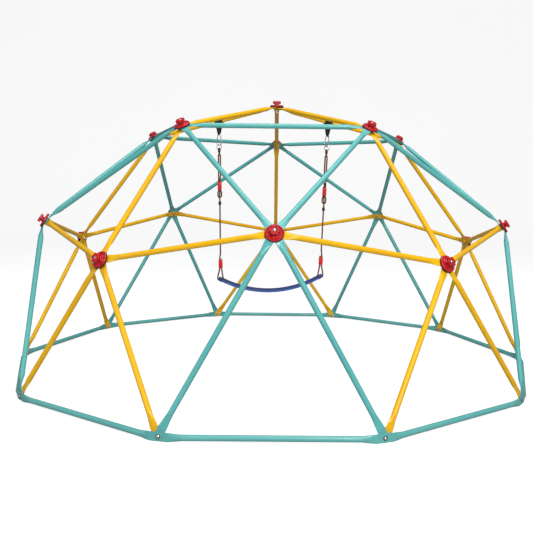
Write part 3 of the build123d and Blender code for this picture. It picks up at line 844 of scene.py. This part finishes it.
def make_seat():
    """Belt seat with rounded moulded edges and grip ribs on top."""
    body = nodes["belt_seat"].data.copy()
    seat = bpy.data.objects.new("moulded_belt_seat", body)
    bpy.context.collection.objects.link(seat)
    weld = seat.modifiers.new("weld", "WELD")
    weld.merge_threshold = weld_distance
    remesh = seat.modifiers.new("remesh", "REMESH")
    remesh.mode = "VOXEL"
    remesh.voxel_size = seat_voxel
    soften = seat.modifiers.new("soften", "SMOOTH")
    soften.factor = 0.6
    soften.iterations = 5
    bpy.context.view_layer.update()
    shaped = bpy.data.meshes.new_from_object(seat.evaluated_get(bpy.context.evaluated_depsgraph_get()))
    seat.modifiers.clear()
    seat.data = shaped
    centre, radius, _, chord, half = seat_curve()
    rib_reach = half - rib_end_gap
    for vertex in shaped.vertices:
        from_centre = vertex.co - centre
        flat = Vector((from_centre.x, 0, from_centre.z))
        above = radius - flat.length
        along = radius * math.asin(max(-1, min(1, flat.dot(chord) / radius)))
        if above > rib_above and abs(along) < rib_reach and abs(from_centre.y) < rib_half_width:
            rib = max(0.0, math.cos(2 * math.pi * along / rib_pitch)) ** 2
            vertex.co += -flat.normalized() * (rib_height * rib)
    shaped.polygons.foreach_set("use_smooth", [True] * len(shaped.polygons))
    dress(seat, looks["seat_blue"])
    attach(seat, "seat")
    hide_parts("belt_seat")


# ---------------------------------------------------------------- stage


def make_backdrop():
    """Pale floor that curves up into a wall far behind the dome."""
    width = 40
    near = -14
    bend_start = 9
    bend = 5
    bend_steps = 16
    wall = 16
    profile = [(near, 0.0), (bend_start, 0.0)]
    for index in range(1, bend_steps + 1):
        angle = math.pi / 2 * index / bend_steps
        profile.append((bend_start + bend * math.sin(angle), bend * (1 - math.cos(angle))))
    profile.append((bend_start + bend, wall))
    points = [(x, y, z - floor_gap) for y, z in profile for x in (-width / 2, width / 2)]
    faces = [(2 * i, 2 * i + 1, 2 * i + 3, 2 * i + 2) for i in range(len(profile) - 1)]
    floor = new_piece("backdrop", points, faces, backdrop_paint())


def soft_light(name, place, target, size, power, tint):
    """Square softbox at a place, turned to a target."""
    lamp = bpy.data.lights.new(name, "AREA")
    lamp.shape = "SQUARE"
    lamp.size = size
    lamp.energy = power
    lamp.color = tint
    holder = bpy.data.objects.new(name, lamp)
    bpy.context.collection.objects.link(holder)
    holder.location = place
    holder.rotation_euler = (Vector(target) - Vector(place)).to_track_quat("-Z", "Y").to_euler()


def make_light():
    """Even studio light: a big overhead softbox, a front key and a weak fill from the left."""
    world = bpy.data.worlds.new("studio")
    world.use_nodes = True
    tree = world.node_tree
    seen = tree.nodes.new("ShaderNodeLightPath").outputs["Is Camera Ray"]
    glow = tree.nodes.new("ShaderNodeMapRange")
    glow.inputs["To Min"].default_value = surround_light
    glow.inputs["To Max"].default_value = surround_seen
    tree.links.new(seen, glow.inputs["Value"])
    tree.links.new(glow.outputs["Result"], tree.nodes["Background"].inputs["Strength"])
    tree.nodes["Background"].inputs["Color"].default_value = (1, 1, 1, 1)
    bpy.context.scene.world = world
    soft_light("overhead", (0.5, -1.0, 5.5), (0, 0, 0.6), 3, 165, (1, 0.99, 0.97))
    soft_light("key", (1.5, -7.0, 3.6), (0, 0, 0.8), 1.4, 350, (1, 0.98, 0.95))
    soft_light("fill", (-6, -4, 2.0), (0, 0, 0.8), 3, 60, (0.95, 0.98, 1))
    bpy.context.scene.view_settings.view_transform = "Standard"


def make_camera():
    """Camera at two thirds of the dome's height, close in front of it."""
    place_in_radii = (0.0063, -2.8307, 0.667)
    turn_in_degrees = (-1.0554, -2.3928, -0.7722)
    place = Vector(place_in_radii) * base_radius + Vector((0, 0, ground_level))
    yaw, pitch, roll = (math.radians(angle) for angle in turn_in_degrees)
    aim = Matrix.Rotation(yaw, 3, "Z") @ Matrix.Rotation(pitch, 3, "X") @ Matrix.Rotation(roll, 3, "Y")
    lens = bpy.data.cameras.new("camera")
    lens.sensor_width = 36
    lens.lens = 47.8
    lens.shift_x = -0.0441
    lens.shift_y = -0.0872
    camera = bpy.data.objects.new("camera", lens)
    bpy.context.collection.objects.link(camera)
    upright = Matrix.Rotation(math.pi / 2, 3, "X")
    camera.matrix_world = Matrix.Translation(place) @ (aim @ upright).to_4x4()
    bpy.context.scene.camera = camera


# ---------------------------------------------------------------- assembly


def soften_edges(node, width):
    """Small rounded edges on a hard CAD piece."""
    weld = nodes[node].modifiers.new("weld", "WELD")
    weld.merge_threshold = weld_distance
    bevel = nodes[node].modifiers.new("bevel", "BEVEL")
    bevel.width = width
    bevel.segments = 2
    bevel.limit_method = "ANGLE"
    bevel.angle_limit = math.radians(40)


for entry in frame["record"]["subparts"]:
    dress(nodes[entry["node"]], looks[entry["material_slot"]])

for side in (Side("left", 1), Side("right", -1)):
    make_rope(side)
    make_knot(side)
    make_tails(side)
    make_strap(side)
    for part in ("upper_sleeve", "lower_sleeve"):
        soften_edges(f"{side.name}_{part}", sleeve_edge)
make_seat()

make_backdrop()
make_light()
make_camera()
